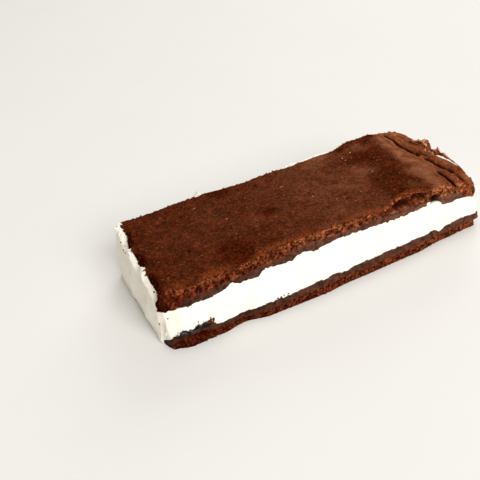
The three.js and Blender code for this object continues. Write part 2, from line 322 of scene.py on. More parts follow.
# Grids of the meshes along, across and up, each in stretches of [end as a share, steps]
GRIDS = {
    "lower_sponge": ([[1, 520]], [[0.05, 10], [0.95, 24], [1, 8]], [[1, 13]]),
    "chocolate": ([[1, 440]], [[0.04, 8], [0.96, 20], [1, 8]], [[1, 9]]),
    "cream": ([[1, 300]], [[0.04, 8], [0.96, 62], [1, 8]], [[0.85, 32], [1, 12]]),
    "upper_sponge": ([[0.84, 370], [1, 110]], [[0.08, 14], [0.93, 54], [1, 10]], [[1, 16]]),
    "ribbon": ([[1, 60]], [[1, 4]], [[1, 4]]),
    "flake": ([[1, 10]], [[1, 6]], [[1, 1]]),
}
COAT_COLUMNS = 12

# Waves of repeatable unevenness [rate each way, phase of a kind], and seeded noise: octaves for soft,
# rough and fine relief, its gain, and shifts that keep its uses apart
WAVES = [[2.1, 0.7, 1.3], [-0.9, 1.7, 2.9], [3.3, -2.6, 4.7]]
SOFT, ROUGH, FINE = 2, 3, 4
NOISE_GAIN = 1.8
OCTAVE_SHIFT = 7.1
LAYER_SHIFT = 11
LUMP_SHIFT = 3.7
FLAKE_SHIFT = 5

# Camera: place, the way it looks and its upward way, for a lens of this length on a full frame
CAMERA_PLACE = np.array([-29.82, -198.92, 168.18])
CAMERA_FORWARD = Vector((0.248, 0.8008, -0.5451))
CAMERA_UP = Vector((0.3333, 0.4578, 0.8242))
CAMERA_LENS = 54
CAMERA_NEAR = 0.01

# Floor and light, in metres and watts: name, place, size, power and colour of each lamp
FLOOR_HALF = 4
WORLD_COLOUR = (0.375, 0.34, 0.3, 1)
LIGHTS = [
    ["key", (0.4, -1.9, 1.25), 1.25, 45, (1, 0.98, 0.95)],
    ["back", (1.4, 1.75, 1), 1.5, 25, (1, 0.98, 0.96)],
    ["above", (0.5, 0.25, 2.25), 2.25, 12.5, (1, 0.98, 0.96)],
]

RANDOM = np.random.default_rng(SEED)
TABLE_SIZE = 256
TABLE = RANDOM.permutation(TABLE_SIZE)
SLOPES = RANDOM.normal(size=(TABLE_SIZE, 3))
SLOPES /= np.linalg.norm(SLOPES, axis=1, keepdims=True)
SPOTS = RANDOM.random((TABLE_SIZE, 3))


# Numbers and curves

def lerp(start, end, share):
    return start + (end - start) * share


def smoothstep(value, low, high):
    share = np.clip((value - low) / (high - low), 0, 1)
    return share * share * (3 - 2 * share)


def arch(share):
    """A curve that is 1 in the middle and 0 at both ends."""
    return 4 * share * (1 - share)


def along(points, position):
    """A curve through [position, value] points that eases from each to the next."""
    places, values = np.array(points, float).T
    i = np.clip(np.searchsorted(places, position) - 1, 0, len(places) - 2)
    return lerp(values[i], values[i + 1], smoothstep(position, places[i], places[i + 1]))


def bump(position, middle, half):
    """A smooth bump of height 1 at the middle that ends half away from it."""
    away = np.clip(np.abs(position - middle) / half, 0, 1)
    return (1 - away * away) ** 2


def between(value, start, end, fade):
    """1 between start and end and 0 well outside them."""
    return smoothstep(value, start - fade, start + fade) - smoothstep(value, end - fade, end + fade)


def uneven(a, b, size, kind):
    """Repeatable unevenness between -1 and 1, with bumps about as large as size."""
    p, q = a / size, b / size
    return sum(np.sin(rate * p + cross * q + phase * kind) for rate, cross, phase in WAVES) / len(WAVES)


def drawn(cells):
    """A seeded number for each cell of a lattice."""
    x, y, z = (cells % TABLE_SIZE).T
    return TABLE[(TABLE[(TABLE[x] + y) % TABLE_SIZE] + z) % TABLE_SIZE]


def noise(points, size):
    """Smooth seeded noise, about -1 to 1, with bumps about as large as size."""
    place = points / size
    base = np.floor(place).astype(int)
    part = place - base
    fade = part**3 * (part * (part * 6 - 15) + 10)
    total = np.zeros(len(points))
    for corner in itertools.product((0, 1), repeat=3):
        slope = SLOPES[drawn(base + corner)]
        weight = np.prod(np.where(corner, fade, 1 - fade), axis=1)
        total += weight * np.sum(slope * (part - corner), axis=1)
    return total * NOISE_GAIN


def layered(points, size, octaves):
    """Noise with finer noise on it, each octave half as large and half as strong."""
    return sum(noise(points + OCTAVE_SHIFT * i, size / 2**i) / 2**i for i in range(octaves))


def patchy(points, patch):
    """Seeded patches, from 0 to 1."""
    return smoothstep(noise(points, patch["size"]), *patch["spread"])


def nearest(points, size):
    """Distance in cells from each point to the nearest spot of a seeded scatter, one a cell."""
    place = points / size
    base = np.floor(place).astype(int)
    best = np.full(len(points), np.inf)
    for step in itertools.product((-1, 0, 1), repeat=3):
        cell = base + step
        spot = cell + SPOTS[drawn(cell)]
        best = np.minimum(best, np.sum((spot - place) ** 2, axis=1))
    return np.sqrt(best)


# Form of the bar

def front_at(x, z):
    return lerp(along(FRONT_FOOT, x), along(FRONT_EDGE, x), z / HEIGHT)


def back_at(x):
    return along(BACK_EDGE, x)


def left_at(y, upper):
    if upper:
        back = LEFT_BACK["depth"] * smoothstep(y, *LEFT_BACK["run"])
        return UPPER_LEFT + LEFT_WAVE * uneven(y, 0, LEFT_WAVE_SIZE, 1) + back
    return LOWER_LEFT - CORNER_SPREAD["lower"] * bump(y, 0, CORNER_SPREAD["reach"])


def right_at(y, upper):
    bow = (UPPER_BOW if upper else LOWER_BOW) * ((y - BOW_MIDDLE) / BOW_HALF) ** 2
    corners = bump(y, 0, END_CORNER["reach"]) + bump(y, WIDTH, END_CORNER["reach"])
    return LENGTH - bow - END_CORNER["depth"] * corners


def dip_at(x):
    """How far the top has dipped at x, from the crest to the right end."""
    way = np.clip((x - CREST["x"]) / (LENGTH - CREST["x"]), 0, 1)
    return END_DIP["depth"] * way ** END_DIP["curve"]


def column_at(u, v, upper, inset=0):
    """x at this row, and at the front, of a column between the ends of the upper or lower layers."""
    y = v * WIDTH
    front = np.zeros_like(y)
    across = lerp(left_at(y, upper) + inset, right_at(y, upper), u)
    return across, lerp(left_at(front, upper) + inset, right_at(front, upper), u)


def top_at(layer, column, v):
    """Top of a layer: its line on the cut front goes over to its level at the back, both ragged."""
    x, front = column
    dip = 0 if layer < CREAM else dip_at(x)
    back = LEVELS[layer] - dip + LEVEL_WAVE * uneven(front, 0, LEVEL_WAVE_SIZE, layer)
    height = lerp(along(FRONT_LINES[layer], front), back, v)
    spots = np.stack([front, v * WIDTH, np.full_like(front, LAYER_SHIFT * layer)], axis=1)
    smeared = (layer == LOWER_CHOCOLATE) * SMEAR["ragged"] * between(front, *SMEAR["run"], SMEAR["fade"])
    return height + RAGGED * (1 + smeared) * layered(spots, RAGGED_SIZE, ROUGH)


def crease(x, middle, half):
    """A groove of depth 1 with a pointed floor, steeper on its right."""
    away = np.abs(x - middle) / np.where(x > middle, WRINKLE_STEEP * half, half)
    return np.clip(1 - away, 0, 1) ** WRINKLE_SHARP


def wrinkled(x, y):
    """Relief of the wrinkles, each with a roll beside it, and painted shade for how far in one each point
    lies.
    """
    relief = np.zeros_like(x)
    groove_shade = np.zeros_like(x)
    for from_x, from_y, to_x, to_y, depth, half in WRINKLES:
        middle = lerp(from_x, to_x, np.clip((y - from_y) / (to_y - from_y), 0, 1))
        middle += WRINKLE_WANDER * uneven(y, 0, WRINKLE_WANDER_SIZE, from_x)
        present = between(y, from_y, to_y, WRINKLE_FADE)
        groove = present * crease(x, middle, half)
        roll = present * bump(x, middle + ROLL["away"] * half, ROLL["half"] * half)
        relief -= depth * (groove - ROLL["share"] * roll)
        groove_shade = np.maximum(groove_shade, np.minimum(WRINKLE_DARK * groove, 1) * min(depth, 1))
    return relief, groove_shade


def end_relief(x, y):
    """The crest and the torn flakes."""
    relief = CREST["rise"] * bump(x, CREST["x"], CREST["half"])
    outward = smoothstep(x, *FLAKE_RUN)
    for flake_y, half, rise, _ in FLAKES:
        relief += rise * bump(y, flake_y, half) * outward
    return relief


def to_edge(x, y, v):
    """Distance on the skin from its nearest edge: front, back or left."""
    return np.minimum(np.minimum(v, 1 - v) * WIDTH, x - left_at(y, True))


def skin_at(x, y, v):
    """The browned skin: level, with soft dents, falling at its edges and at the sagging front."""
    front = along(SKIN_LINE, x)
    level = HEIGHT - dip_at(x) + DENT * uneven(x, y, DENT_SIZE, 3)
    for dent_x, dent_y, half, depth in SOFT_DENTS:
        level -= depth * bump(np.hypot(x - dent_x, y - dent_y), 0, half)
    fall = EDGE_FALL * (1 - smoothstep(to_edge(x, y, v), 0, EDGE_REACH))
    return lerp(front, level, smoothstep(v * WIDTH, 0, SAG_REACH)) - fall + end_relief(x, y)


# Meshes

def graded(stretches):
    """Shares from 0 to 1 in stretches, each given by its end and its number of steps."""
    shares = [np.zeros(1)]
    start = 0
    for end, steps in stretches:
        shares.append(np.linspace(start, end, steps + 1)[1:])
        start = end
    return np.concatenate(shares)


def block(columns, rows, levels):
    """The points of a closed grid box, as shares of its three sides, and the faces between them."""
    shape = (len(columns), len(rows), len(levels))
    outer = np.ones(shape, bool)
    outer[1:-1, 1:-1, 1:-1] = False
    number = np.full(shape, -1)
    number[outer] = np.arange(outer.sum())
    sides = [number[..., -1], number[..., 0].T, number[:, 0], number[:, -1].T, number[-1], number[0].T]
    faces = [np.stack([s[:-1, :-1], s[1:, :-1], s[1:, 1:], s[:-1, 1:]], -1).reshape(-1, 4) for s in sides]
    i, j, k = np.nonzero(outer)
    return columns[i], rows[j], levels[k], np.concatenate(faces)


def grid(name, before=()):
    """The grid box of a kind of piece, with any extra columns before its first."""
    columns, rows, levels = (graded(stretches) for stretches in GRIDS[name])
    return block(np.concatenate([before, columns]), rows, levels)


def normals_of(points, faces):
    corners = points[faces]
    across = np.cross(corners[:, 2] - corners[:, 0], corners[:, -1] - corners[:, 1])
    normals = np.zeros_like(points)
    for i in range(faces.shape[1]):
        np.add.at(normals, faces[:, i], across)
    return normals / np.linalg.norm(normals, axis=1, keepdims=True)


def raised(points, faces, relief):
    """The points moved out along their normals by the relief."""
    return points + relief[:, None] * normals_of(points, faces)


def crumb(points):
    """Relief of torn crumb in millimetres, and how deep each point lies in it as painted shade in pores
    and low spots, from 0 to 1.
    """
    rough = layered(points, CRUMB_SIZE, FINE)
    pore = 1 - smoothstep(nearest(points, PORE_SIZE), *PORE_RIM)
    pore *= patchy(points, PORE_PATCH)
    shade = np.maximum(pore, smoothstep(-rough, *CRUMB_SHADE))
    return CRUMB_ROUGH * rough - PORE_DEPTH * pore, shade


def joined(parts):
    """Several meshes as one."""
    points, faces = zip(*parts)
    starts = np.cumsum([0] + [len(part) for part in points[:-1]])
    return np.concatenate(points), np.concatenate([part + start for part, start in zip(faces, starts)])


def added(name, data):
    """A new object in the scene."""
    thing = bpy.data.objects.new(name, data)
    bpy.context.scene.collection.objects.link(thing)
    return thing


def piece(name, points, faces, material, slot, **values):
    """A mesh object on the bar's one body, with a named number for each of its points."""
    mesh = bpy.data.meshes.new(name)
    mesh.from_pydata(((points - MIDDLE) * MM).tolist(), [], faces.tolist())
    mesh.shade_smooth()
    for key, numbers in values.items():
        mesh.attributes.new(key, "FLOAT", "POINT").data.foreach_set("value", numbers.astype(np.float32))
    mesh.materials.append(material)
    thing = added(name, mesh)
    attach(thing, "root")
    return thing


# Lower sponge and chocolate

Layer = namedtuple("Layer", "points u v w")


def tip_at(u, v):
    """How far each point belongs to the tip at the right of the front, from 0 to 1."""
    return smoothstep(u, TIP["start"], 1) * bump(v * WIDTH, 0, TIP["reach"])


def lower_sponge(material):
    u, v, w, faces = grid("lower_sponge")
    column = column_at(u, v, False)
    x = column[0] + TIP["sponge"] * tip_at(u, v)
    z = w * (top_at(LOWER_SPONGE, column, v) + TOUCH)
    y = lerp(front_at(x, z), back_at(x), v)
    points = np.stack([x, y, z], axis=1)
    relief, depth = crumb(points)
    depth = np.minimum(depth + LOWER_SHADE["depth"] * (1 - smoothstep(x, *LOWER_SHADE["run"])), 1)
    points = raised(points, faces, relief)
    points[:, 2] = np.where(w > 0, np.maximum(points[:, 2], FLOOR_CLEAR), 0)
    looks = {"cut": np.ones_like(x), "depth": depth, "pale": along(LOWER_CRUMB_TONE, x)}
    thing = piece("lower_sponge", points, faces, material, "sponge", **looks)
    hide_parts("sponge_bottom")
    return Layer(points, u, v, w)


def overhang_at(x):
    """Where the crumb hangs over the upper chocolate, near both ends of the front, from 0 to 1."""
    return 1 - smoothstep(x, *OVERHANG["left"]) + smoothstep(x, *OVERHANG["right"])


def chocolate(name, node, layer, material):
    upper = layer == UPPER_CHOCOLATE
    u, v, w, faces = grid("chocolate")
    column = column_at(u, v, upper)
    x = column[0] + (not upper) * TIP["chocolate"] * tip_at(u, v)
    z = lerp(top_at(layer - 1, column, v) - TOUCH, top_at(layer, column, v) + TOUCH, w)
    broken = bump(x, BREAK["x"], BREAK["half"])
    recess = BREAK["depth"] * broken + OVERHANG["recess"] * overhang_at(x)
    y = lerp(front_at(x, z), back_at(x), v) + recess * upper * (1 - smoothstep(v, 0, BREAK["share"]))
    points = np.stack([x, y, z], axis=1)
    points = raised(points, faces, CHOCOLATE_ROUGH * layered(points, CHOCOLATE_SIZE, ROUGH))
    if upper:
        # Painted shade in the break, where the upper chocolate is recessed.
        looks = {"pale": along(UPPER_CHOCOLATE_TONE, x), "depth": broken}
    else:
        smear = between(x, *SMEAR["run"], SMEAR["fade"]) * smoothstep(z, *SMEAR["rise"])
        looks = {"pale": along(LOWER_CHOCOLATE_TONE, x), "smear": smear}
    thing = piece(name, points, faces, material, "dark_chocolate", **looks)
    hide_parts(node)


# Cream

def coat_face(y, z):
    """Outer face of the cream on the left end, which bulges below its middle."""
    edge = lerp(UPPER_LEFT - LEFT_WAVE, left_at(y, True), LIP_FOLLOW)
    clear = lerp(LOWER_LEFT, edge, z / HEIGHT) - COAT_CLEAR
    thick = lerp(COAT["front"], COAT["back"], np.sqrt(y / WIDTH)) * (1 - along(COAT_TAPER, y) * z / HEIGHT)
    bulge = COAT["bulge"] * bump(z, COAT["bulge_height"], COAT["bulge_half"]) * smoothstep(y, 0, COAT_RUN)
    corner = COAT_CORNER["depth"] * bump(y, WIDTH, COAT_CORNER["reach"])
    return clear - thick - bulge + corner


def lip_at(y):
    return along(LIP, y) + LIP_WAVE * uneven(y, 0, LIP_WAVE_SIZE, 5)


def cream_form(u, v, w):
    """Points of the filling, whose coat has u below 0, and the height of the lip."""
    y = v * WIDTH
    in_coat = u < 0
    lower, upper = (column_at(np.maximum(u, 0), v, side, COAT_SINK) for side in (False, True))
    inward = np.clip(u + 1, 0, 1)
    lip = lip_at(y) - LIP_ROUND["depth"] * (1 - inward) ** LIP_ROUND["power"]
    low = np.where(in_coat, FLOOR_CLEAR, top_at(LOWER_CHOCOLATE, lower, v) - TOUCH)
    high = np.where(in_coat, lip, top_at(CREAM, upper, v) + TOUCH)
    z = lerp(low, high, w)
    wall = lerp(left_at(y, False), left_at(y, True), w) + COAT_SINK
    x = np.where(in_coat, lerp(coat_face(y, z), wall, inward), lerp(lower[0], upper[0], w))
    x += END_BULGE["depth"] * arch(w) * smoothstep(u, END_BULGE["start"], 1)
    return np.stack([x, lerp(front_at(x, z) + along(CREAM_SET, x), back_at(x), v), z], axis=1), lip


def cream_relief(points, in_coat, lip):
    """Soft waves on the filling, larger ones on its coat, and beads along the lip."""
    beaded = in_coat * smoothstep(points[:, 2], lip - LIP_BEAD["reach"], lip)
    relief = CREAM_WAVE * layered(points, CREAM_WAVE_SIZE, SOFT)
    relief += COAT_WAVE["depth"] * (in_coat - beaded) * layered(points, COAT_WAVE["size"], ROUGH)
    relief += LIP_BEAD["depth"] * beaded * layered(points, LIP_BEAD["size"], ROUGH)
    return relief


def cream(material):
    """The filling, with a coat that wraps the left end and ends above in a beaded lip."""
    u, v, w, faces = grid("cream", np.linspace(-1, 0, COAT_COLUMNS, endpoint=False))
    points, lip = cream_form(u, v, w)
    points = raised(points, faces, cream_relief(points, u < 0, lip))
    points[:, 2] = np.maximum(points[:, 2], FLOOR_CLEAR)
    thing = piece("cream_filling", points, faces, material, "cream")
    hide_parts("cream")
    return Layer(points, u, v, w)


# Upper sponge

def flaked_at(y):
    """How far the torn flakes reach out of the right end."""
    return sum(reach * bump(y, flake_y, half) for flake_y, half, _, reach in FLAKES)


def left_bare(y):
    """How far a dip in the lip bares the left edge of the upper sponge, from 0 to 1."""
    return smoothstep(HEIGHT - lip_at(y), *LEFT_TORN["lip"])


def left_torn(x, y, points):
    """Where the skin is torn along the left edge, beside each dip in the lip, from 0 to 1."""
    bare = left_bare(y)
    inward = x - left_at(y, True) - LEFT_TORN["bite"] * bare
    inward += LEFT_TORN["wander"] * noise(points, LEFT_RAGGED["size"])
    return bare * (1 - smoothstep(inward, 0, LEFT_TORN["reach"]))


def end_torn(x, y, points):
    """Where the skin is torn at the flakes, the front corner and the fold, from 0 to 1."""
    flakes = smoothstep(flaked_at(y), *FLAKE_TORN) * smoothstep(x, *FLAKE_RUN)
    corner = smoothstep(x, *TORN_CORNER["x"]) * (1 - smoothstep(y, *TORN_CORNER["y"]))
    fold = smoothstep(x, *TORN_FOLD["run"]) * patchy(points, TORN_FOLD)
    return np.maximum.reduce([flakes, TORN_CORNER["most"] * corner, TORN_FOLD["most"] * fold])


def hollowed(x, z, w):
    """Depth of the hollows in the cut front of the upper sponge, and their painted shade, ragged."""
    depth = np.zeros_like(x)
    shade = np.zeros_like(x)
    ragged = 1 + layered(np.stack([x, 0 * x, z], axis=1), HOLLOW_RAGGED_SIZE, SOFT)
    for middle, half, deepest, height, reach, darkness in HOLLOWS:
        share = np.sqrt(bump(x, middle, half) * bump(w, height, reach))
        depth += deepest * share
        shade = np.maximum(shade, darkness * np.clip(HOLLOW_DARK * ragged * share, 0, 1))
    return depth, shade


def upper_x(u, v, w, across):
    """x of the upper sponge: rounded and flaked at the right, spread, ragged and bitten at the left."""
    y = v * WIDTH
    rounding = END_ROUND["depth"] * (2 * w - 1) ** 2 * smoothstep(u, END_ROUND["start"], 1)
    spread = CORNER_SPREAD["upper"] * (1 - w) * bump(y, 0, CORNER_SPREAD["reach"])
    spread *= 1 - smoothstep(across, 0, CORNER_SPREAD["run"])
    x = across + flaked_at(y) * smoothstep(across, FLAKE_RUN[0], LENGTH) - rounding - spread
    x += TIP["upper"] * tip_at(u, v)
    ragged = layered(np.stack([0 * w, y, LEFT_RAGGED["height"] * w], axis=1), LEFT_RAGGED["size"], SOFT)
    x += LEFT_RAGGED["depth"] * ragged * (1 - smoothstep(across, 0, LEFT_RAGGED["reach"]))
    x += LEFT_TORN["bite"] * left_bare(y) * w * (1 - smoothstep(across, 0, LEFT_TORN["run"]))
    return x


def upper_form(u, v, w):
    """Points of the upper sponge, painted shade for how far each is in a wrinkle, and depth and painted
    shade of the hollows.
    """
    y = v * WIDTH
    column = column_at(u, v, True)
    x = upper_x(u, v, w, column[0])
    wrinkles, groove_shade = wrinkled(x, y)
    over = overhang_at(x) * (1 - smoothstep(y, 0, OVERHANG["reach"]))
    low = lerp(top_at(UPPER_CHOCOLATE, column, v) - TOUCH, top_at(CREAM, column, v), over)
    z = lerp(low, skin_at(x, y, v) + wrinkles, w)
    hollow, shade = hollowed(x, z, w)
    into = hollow * (1 - smoothstep(y, 0, HOLLOW_REACH))
    points = np.stack([x, lerp(front_at(x, z), back_at(x), v) + into, z], axis=1)
    return points, groove_shade, hollow, shade


def skin_patches(points):
    """How much lighter or darker the skin is in its soft patches, partly painted light and shade."""
    x, y, _ = points.T
    return sum(change * bump(np.hypot(x - px, y - py), 0, half) for px, py, half, change in SKIN_PATCHES)


def upper_tones(x, y, points, v, w):
    """Paleness of the skin and of the crumb along the bar, which wanders and lags towards the back, with
    painted light, sheen and highlights in it.
    """
    place = x + TONE_WANDER * noise(points, TONE_SIZE)
    place -= TONE_BACK["depth"] * smoothstep(y, *TONE_BACK["run"])
    skin = along(SKIN_TONE, place) * lerp(FRONT_TONE["least"], 1, smoothstep(y, *FRONT_TONE["run"]))
    # Painted highlight along the top of the crumb band on the cut front.
    edge = EDGE_HIGHLIGHT["most"] * (v == 0) * smoothstep(w, EDGE_HIGHLIGHT["start"], 1)
    # Painted highlight on the hollow's rim.
    rim = smoothstep(w, HOLLOW_RIM["start"], 1) * bump(x, HOLLOW_RIM["x"], HOLLOW_RIM["half"])
    return skin, along(CRUMB_TONE, place) + edge + HOLLOW_RIM["pale"] * rim


def lip_highlights(x, points, v, w):
    """Patches of painted highlight on the lip below the hollow."""
    low = (v == 0) * (1 - smoothstep(w, 0, HOLLOW_LIP["top"]))
    across = bump(x, HOLLOW_LIP["x"], HOLLOW_LIP["half"])
    return HOLLOW_LIP["pale"] * low * across * patchy(points, HOLLOW_LIP)


def warmth(x, y, points):
    """How orange the skin is: past the crest, and in patches along its front edge, where it is partly a
    painted highlight.
    """
    edge = EDGE_WARM["most"] * (1 - smoothstep(y, *EDGE_WARM["run"])) * patchy(points, EDGE_WARM)
    return np.maximum(WARM["most"] * smoothstep(x, *WARM["run"]), edge)


def upper_sponge(material):
    """Browned skin above, torn crumb at the sides and hollows in the cut front."""
    u, v, w, faces = grid("upper_sponge")
    points, groove_shade, hollow, shade = upper_form(u, v, w)
    x, y = points[:, 0], v * WIDTH
    left = left_torn(x, y, points)
    torn = np.maximum(end_torn(x, y, points), left)
    to_skin = to_edge(x, y, v) + SKIN_EDGE["wander"] * noise(points, SKIN_EDGE["size"])
    on_top = np.maximum(1 - smoothstep(to_skin, *SKIN_EDGE["run"]), torn)
    cut = np.where(w == 1, on_top, np.where(u == 1, END_CUT, 1))
    points[:, 2] -= LEFT_TORN["fall"] * left * w
    patches = skin_patches(points)
    skin_tone, crumb_tone = upper_tones(x, y, points, v, w)
    torn_relief, depth = crumb(points)
    smooth = HOLLOW_SMOOTH * np.minimum(hollow, 1) * (v == 0) + TIP["smooth"] * smoothstep(x, *TIP["run"])
    skin_relief = SKIN_WAVE * layered(points, SKIN_WAVE_SIZE, FINE)
    points = raised(points, faces, lerp(skin_relief, torn_relief * (1 + torn - smooth), cut))
    # Darker torn left edge, and painted shade in the dark skin patches.
    torn_dark_and_painted_shade = np.maximum(LEFT_TORN["dark"] * left, -patches * (1 - cut))
    looks = {
        "cut": cut,
        "depth": np.maximum.reduce([depth * cut * (1 - smooth), groove_shade, shade * (v == 0), torn_dark_and_painted_shade]),
        "pale": lerp(np.maximum(skin_tone + patches, 0), crumb_tone, cut),
        # thin here is painted highlight on the hollow's lip.
        "thin": lip_highlights(x, points, v, w),
        "warm": warmth(x, y, points),
    }
    thing = piece("upper_sponge", points, faces, material, "sponge", **looks)
    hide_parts("sponge_top")
    return Layer(points, u, v, w)


# Loose bits

def lumps(spots, sizes, dent, subdivisions):
    """Irregular lumps, one at each spot, each turned and stretched at random, as one mesh."""
    ball = bmesh.new()
    bmesh.ops.create_icosphere(ball, subdivisions=subdivisions, radius=0.5)
    form = np.array([point.co for point in ball.verts])
    triangles = np.array([[point.index for point in face.verts] for face in ball.faces])
    ball.free()
    points = []
    faces = []
    for i, (spot, size) in enumerate(zip(spots, sizes)):
        turn, _ = np.linalg.qr(RANDOM.normal(size=(3, 3)))
        dented = form * (1 + dent * layered(form + LUMP_SHIFT * i, LUMP["size"], SOFT))[:, None]
        points.append(dented * RANDOM.uniform(*LUMP["stretch"], 3) @ turn * size + spot)
        faces.append(triangles[:, ::int(np.sign(np.linalg.det(turn)))] + i * len(form))
    return np.concatenate(points), np.concatenate(faces)


def scattered(layer, where, count, sizes):
    """Seeded spots among a layer's points where a mask holds, with a size for each, mostly small."""
    spots = layer.points[RANDOM.choice(np.flatnonzero(where), count, replace=False)]
    return spots, lerp(*sizes, RANDOM.random(count) ** 2)


def grain_places(lower, filling, upper):
    """The faces that hold loose grains: a layer and a mask of its points for each."""
    x = upper.points[:, 0]
    high = upper.w > GRAIN_START
    hollow_x, hollow_half = HOLLOWS[0][:2]
    whole = (np.abs(x - hollow_x) > GRAIN_CLEAR * hollow_half) | (upper.w > HOLLOW_ROOF)
    return {
        "top front": (upper, (upper.v == 0) & high & whole & (x < GRAIN_END)),
        "top back": (upper, (upper.v == 1) & high),
        "top left": (upper, (upper.u == 0) & high),
        "top right": (upper, (upper.u == 1) & high),
        "low front": (lower, lower.v == 0),
        "low back": (lower, lower.v == 1),
        "lip": (filling, (filling.u < 0) & (filling.w == 1) & (filling.v > GRAIN_LIP)),
    }


def on_cream(x, z):
    """Points on the cut front of the cream."""
    return np.stack([x, front_at(x, z) + along(CREAM_SET, x), z], axis=1)


def smear_specks():
    """Tiny dark specks on the cream just above the smear: spots, sizes and tones."""
    x = RANDOM.uniform(*SMEAR["run"], SMEAR_SPECKS["count"])
    z = along(LOWER_CHOCOLATE_LINE, x) + np.abs(RANDOM.normal(0, SMEAR_SPECKS["rise"], len(x)))
    return on_cream(x, z), RANDOM.uniform(*SMEAR_SPECKS["sizes"], len(x)), np.ones_like(x)


def single_specks():
    """The larger specks on the cream's front: spots, sizes and tones."""
    x, z, sizes, tones = np.array(SPECKS).T
    return on_cream(x, z), sizes, tones


def grains(places, counts, sizes, specks, subdivisions):
    """Grains on each counted face, and specks: one mesh, and the tone of each point."""
    groups = [scattered(*places[name], count, sizes) for name, count in counts.items()]
    spots = np.concatenate([group[0] for group in groups] + [specks[0]])
    extents = np.concatenate([group[1] for group in groups] + [specks[1]])
    drawn_tones = RANDOM.uniform(*GRAIN_TONES, len(spots) - len(specks[2]))
    tones = np.concatenate([drawn_tones, specks[2]])
    points, faces = lumps(spots, extents, CRUMB_DENT, subdivisions)
    return points, faces, np.repeat(tones, len(points) // len(spots))


def crumbs(material, lower, filling, upper):
    """Loose grains on the torn faces and the lip, and specks on the cream's front, as one mesh."""
    places = grain_places(lower, filling, upper)
    fine = grains(places, FINE_COUNTS, FINE_SIZES, smear_specks(), LUMP_STEPS["fine"])
    coarse = grains(places, COARSE_COUNTS, COARSE_SIZES, single_specks(), LUMP_STEPS["coarse"])
    points, faces = joined([fine[:2], coarse[:2]])
    x, _, z = points.T
    # The grains take the crumb tones, which are partly painted light.
    pale = np.where(z > LEVELS[LOWER_CHOCOLATE], along(CRUMB_TONE, x), along(LOWER_CRUMB_TONE, x))
    points[:, 2] = np.maximum(z, FLOOR_CLEAR)
    looks = {"cut": np.ones(len(points)), "depth": np.concatenate([fine[2], coarse[2]]), "pale": pale}
    piece("crumbs", points, faces, material, "sponge", **looks)


def ribbon(path):
    """An irregular closed strip along [x, y, z, height, thickness] rows, with pointed ends."""
    u, v, w, faces = grid("ribbon")
    path = np.array(path)
    knots = np.linspace(0, 1, len(path))
    x, y, z, height, thick = (np.interp(u, knots, column) for column in path.T)
    middle = np.stack([x, y, z], axis=1)
    way_x, way_y = (path[-1] - path[0])[:2]
    across = np.array([-way_y, way_x, 0]) / np.hypot(way_x, way_y)
    swell = np.maximum(1 + RIBBON_UNEVEN * layered(middle, RIBBON_SIZE, ROUGH), RIBBON_LEAST)
    size = swell * (RIBBON_POINT + np.sqrt(arch(u)))
    points = middle + (size * thick * (v - 0.5))[:, None] * across
    points[:, 2] += size * height * (w - 0.5)
    return points, faces


def cream_bits(material, filling):
    """Beads of cream along the lip, and strips on the back edge, in the break and in the end's cracks."""
    lip = (filling.u < 0) & (filling.w == 1) & (filling.points[:, 2] > BEADS["start"])
    spots, sizes = scattered(filling, lip, BEADS["count"], BEADS["sizes"])
    points, faces = lumps(spots, sizes, BEADS["dent"], LUMP_STEPS["bead"])
    piece("cream_bits", points, faces, material, "cream")
    points, faces = joined([ribbon(path) for path in CREAM_STRIPS])
    piece("cream_strips", points, faces, material, "cream")


def flake(base, heading, lean, length, width):
    """A thin torn sheet that rises from its base and curls over, tapering to a ragged end."""
    u, v, w, faces = grid("flake")
    angle = np.radians(lean + FLAKE_CURL * u)
    spots = np.stack([length * u, width * v, np.full_like(u, heading)], axis=1)
    side = width * (v - 0.5) * (1 - FLAKE_TAPER * u) + FLAKE_RAGGED * noise(spots, FLAKE_RAGGED_SIZE)
    reach = length * u * (1 + FLAKE_RAGGED * noise(spots + FLAKE_SHIFT, FLAKE_RAGGED_SIZE))
    thick = FLAKE_THICK * (w - 0.5) * (1 - FLAKE_TAPER * u)
    out = reach * np.cos(angle) - thick * np.sin(angle)
    up = reach * np.sin(angle) + thick * np.cos(angle)
    turn = np.radians(heading)
    x = out * np.cos(turn) - side * np.sin(turn)
    y = out * np.sin(turn) + side * np.cos(turn)
    return np.stack([x, y, up], axis=1) + base, faces


def torn_flakes(material):
    """Clusters of curled flakes past the crest, and the thin rim beside them."""
    parts = [ribbon(RIM_PATH)]
    paleness = [RIM_PALE]
    for start, end, count, lengths in FLAKE_CLUSTERS:
        ranges = [(0, 360), FLAKE_LEANS, lengths, FLAKE_WIDTHS]
        for share in RANDOM.random(count):
            base = lerp(np.array(start), np.array(end), share)
            parts.append(flake(base, *[RANDOM.uniform(*limits) for limits in ranges]))
            paleness.append(RANDOM.uniform(*FLAKE_PALENESS))
    points, faces = joined(parts)
    ones = np.ones(len(points))
    thin = np.repeat(paleness, [len(part[0]) for part in parts])
    # Flakes pale towards their tops, partly as a painted highlight.
    thin *= smoothstep(points[:, 2] + noise(points, FLAKE_RAGGED_SIZE), *FLAKE_PALE)
    piece("torn_flakes", points, faces, material, "sponge", cut=ones, pale=ones, thin=thin)


def skin_crumbs(material, upper):
    """The few pale crumbs that lie about on the skin."""
    skin = upper.points[upper.w == 1]
    x, y, sizes = np.array(SKIN_CRUMBS).T
    spots = [skin[np.argmin(np.hypot(skin[:, 0] - a, skin[:, 1] - b))] for a, b in zip(x, y)]
    points, faces = lumps(spots, sizes, CRUMB_DENT, LUMP_STEPS["coarse"])
    ones = np.ones(len(points))
    looks = {"cut": ones, "pale": ones, "thin": SKIN_CRUMB_PALE * ones}
    piece("skin_crumbs", points, faces, material, "sponge", **looks)


# Materials

